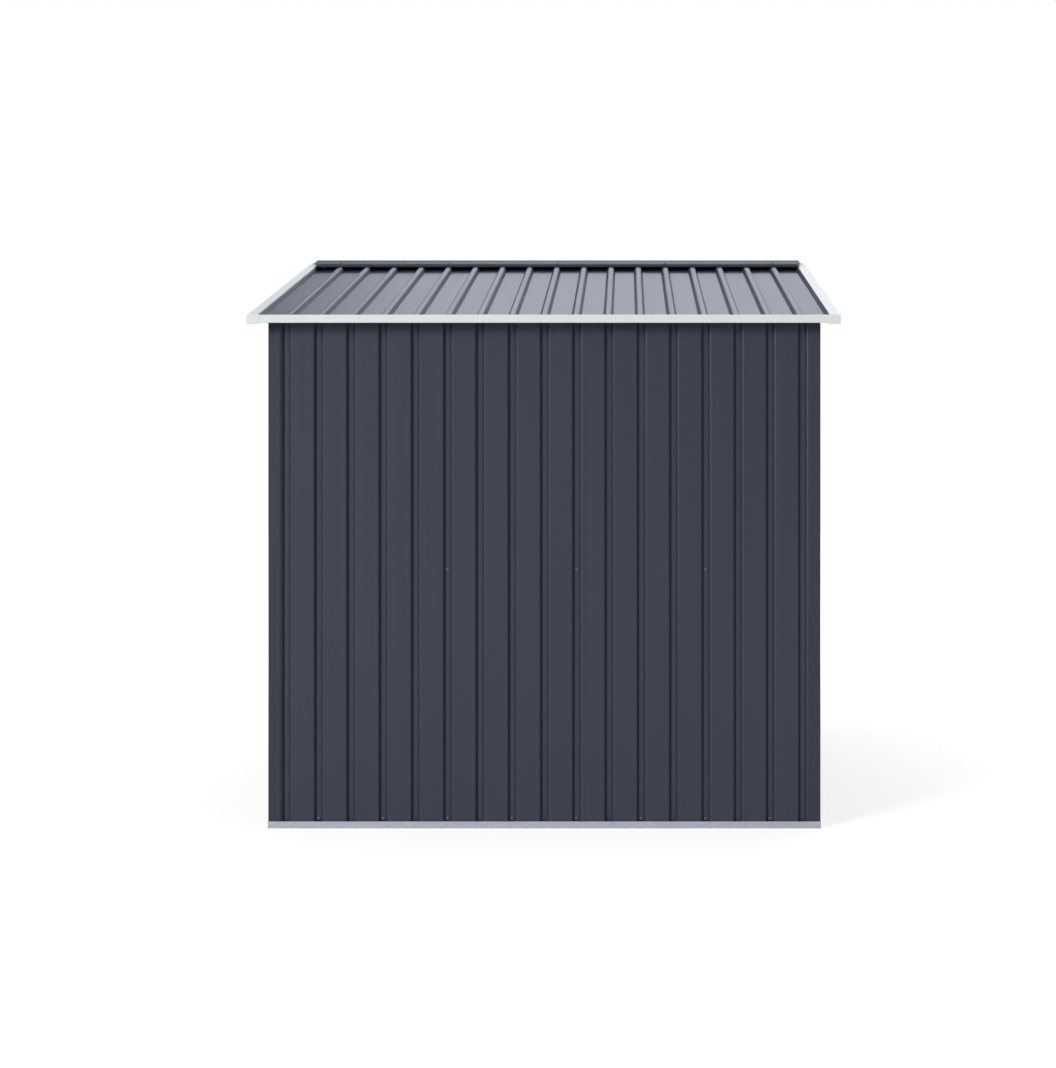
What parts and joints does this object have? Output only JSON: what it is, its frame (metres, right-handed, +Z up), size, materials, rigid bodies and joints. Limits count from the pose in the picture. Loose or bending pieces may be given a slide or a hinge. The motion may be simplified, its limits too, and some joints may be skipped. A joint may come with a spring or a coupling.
{
  "type": "metal storage shed",
  "caption": "Small free-standing metal storage shed with a low apex roof, grooved wall sheets and closed sliding doors in one gable.",
  "frame": {"origin": "on the ground, in the middle of the shed's outline", "axes": "+Z up, X along the plain eave walls and the ridge, the sliding doors in the gable at +X, Y along the gables"},
  "size_m": [2.06, 2.8532, 2.1297],
  "materials": {
    "wall_sheet": "satin anthracite paint on galvanised steel sheet",
    "anthracite_trim": "satin anthracite paint on folded steel",
    "roof_sheet": "semi-gloss anthracite paint on galvanised steel sheet",
    "white_trim": "satin white paint on folded steel",
    "galvanised_rail": "plain galvanised",
    "galvanised_frame": "plain galvanised",
    "handle": "black coated steel strap"
  },
  "bodies": {
    "root": {"back_wall_sheet_1": "wall_sheet", "back_wall_sheet_2": "wall_sheet", "back_wall_sheet_3": "wall_sheet", "back_wall_sheet_4": "wall_sheet", "base_rail_back": "galvanised_rail", "base_rail_front": "galvanised_rail", "base_rail_left": "galvanised_rail", "base_rail_right": "galvanised_rail", "corner_trim_back_left": "anthracite_trim", "corner_trim_back_right": "anthracite_trim", "corner_trim_front_left": "anthracite_trim", "corner_trim_front_right": "anthracite_trim", "door_handles": "handle", "door_header_panel": "wall_sheet", "door_jambs": "anthracite_trim", "door_leaf_back": "wall_sheet", "door_leaf_front": "wall_sheet", "door_track": "galvanised_frame", "eave_trim_back": "white_trim", "eave_trim_front": "white_trim", "front_wall_sheet_1": "wall_sheet", "front_wall_sheet_2": "wall_sheet", "front_wall_sheet_3": "wall_sheet", "front_wall_sheet_4": "wall_sheet", "gable_rafters": "galvanised_frame", "left_gable_sheet_1": "wall_sheet", "left_gable_sheet_2": "wall_sheet", "left_gable_sheet_3": "wall_sheet", "left_gable_sheet_4": "wall_sheet", "left_gable_sheet_5": "wall_sheet", "mid_rails": "galvanised_frame", "ridge_cap": "anthracite_trim", "right_gable_sheet_back": "wall_sheet", "right_gable_sheet_front": "wall_sheet", "roof_back_sheet_1": "roof_sheet", "roof_back_sheet_2": "roof_sheet", "roof_back_sheet_3": "roof_sheet", "roof_front_sheet_1": "roof_sheet", "roof_front_sheet_2": "roof_sheet", "roof_front_sheet_3": "roof_sheet", "roof_purlins": "galvanised_frame", "verge_trim_back_left": "white_trim", "verge_trim_back_right": "white_trim", "verge_trim_front_left": "white_trim", "verge_trim_front_right": "white_trim", "wall_plates": "galvanised_frame"}
  },
  "joints": []
}
